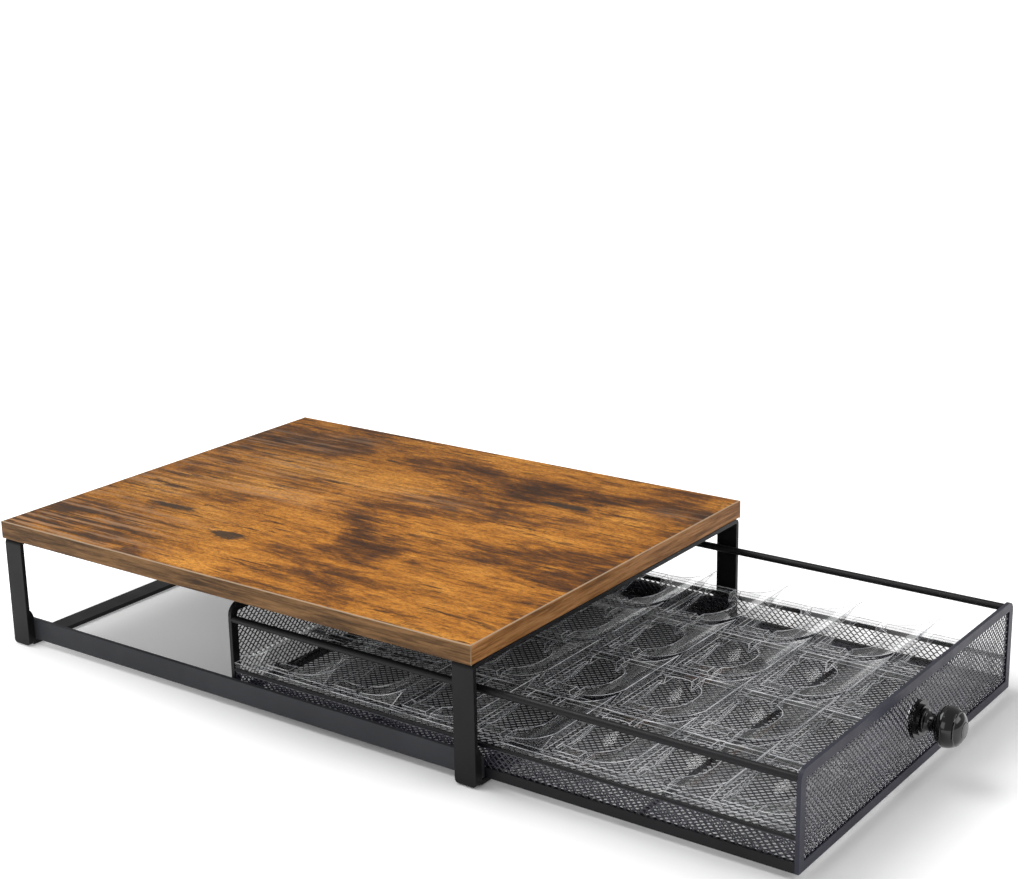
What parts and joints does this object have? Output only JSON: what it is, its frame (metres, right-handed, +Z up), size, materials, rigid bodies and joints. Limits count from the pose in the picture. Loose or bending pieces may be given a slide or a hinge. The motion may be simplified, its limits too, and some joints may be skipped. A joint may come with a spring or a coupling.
{
  "type": "coffee pod drawer",
  "caption": "Low wooden-topped steel stand with a mesh drawer that slides out at the front and seats coffee pods in rows of clear moulded trays.",
  "frame": {"origin": "on the surface it stands on, at the middle of the width and of the whole depth with the drawer half out, knob included", "axes": "+X to the right seen from the front, +Y to the back, +Z up; the drawer opens towards -Y"},
  "size_m": [0.325, 0.6626, 0.0945],
  "materials": {
    "board": "satin printed oak look, rustic brown",
    "edge_band": "satin edge banding",
    "stand_metal": "satin black powder coat",
    "basket_metal": "satin black powder coat",
    "mesh_metal": "satin charcoal coated expanded mesh",
    "knob_metal": "gloss black",
    "clear_tray": "clear, glossy",
    "fastener": "zinc plated",
    "pad": "matt"
  },
  "bodies": {
    "stand": {"board_panel": "board", "edge_band_left": "edge_band", "edge_band_right": "edge_band", "edge_band_front": "edge_band", "edge_band_rear": "edge_band", "front_leg_frame": "stand_metal", "rear_leg_frame": "stand_metal", "front_cross_tie": "stand_metal", "rear_cross_tie": "stand_metal", "left_side_rail": "stand_metal", "right_side_rail": "stand_metal", "board_screws": "fastener", "foot_pads": "pad"},
    "drawer": {"front_panel_frame": "basket_metal", "rear_panel_frame": "basket_metal", "front_mesh": "mesh_metal", "rear_mesh": "mesh_metal", "floor_mesh": "mesh_metal", "floor_wires": "basket_metal", "left_base_rim": "basket_metal", "right_base_rim": "basket_metal", "left_skirt_mesh": "mesh_metal", "right_skirt_mesh": "mesh_metal", "left_skirt_wire": "basket_metal", "right_skirt_wire": "basket_metal", "left_upper_rail": "basket_metal", "right_upper_rail": "basket_metal", "knob_rosette": "knob_metal", "knob": "knob_metal", "knob_washer": "fastener", "knob_screw": "fastener", "pod_tray_row_1": "clear_tray", "pod_tray_row_2": "clear_tray", "pod_tray_row_3": "clear_tray", "pod_tray_row_4": "clear_tray"}
  },
  "joints": [
    {"name": "drawer_slide", "type": "slide", "parent": "stand", "child": "drawer", "axis": [0, -1, 0], "range_m": [-0.2095, 0.15]}
  ]
}
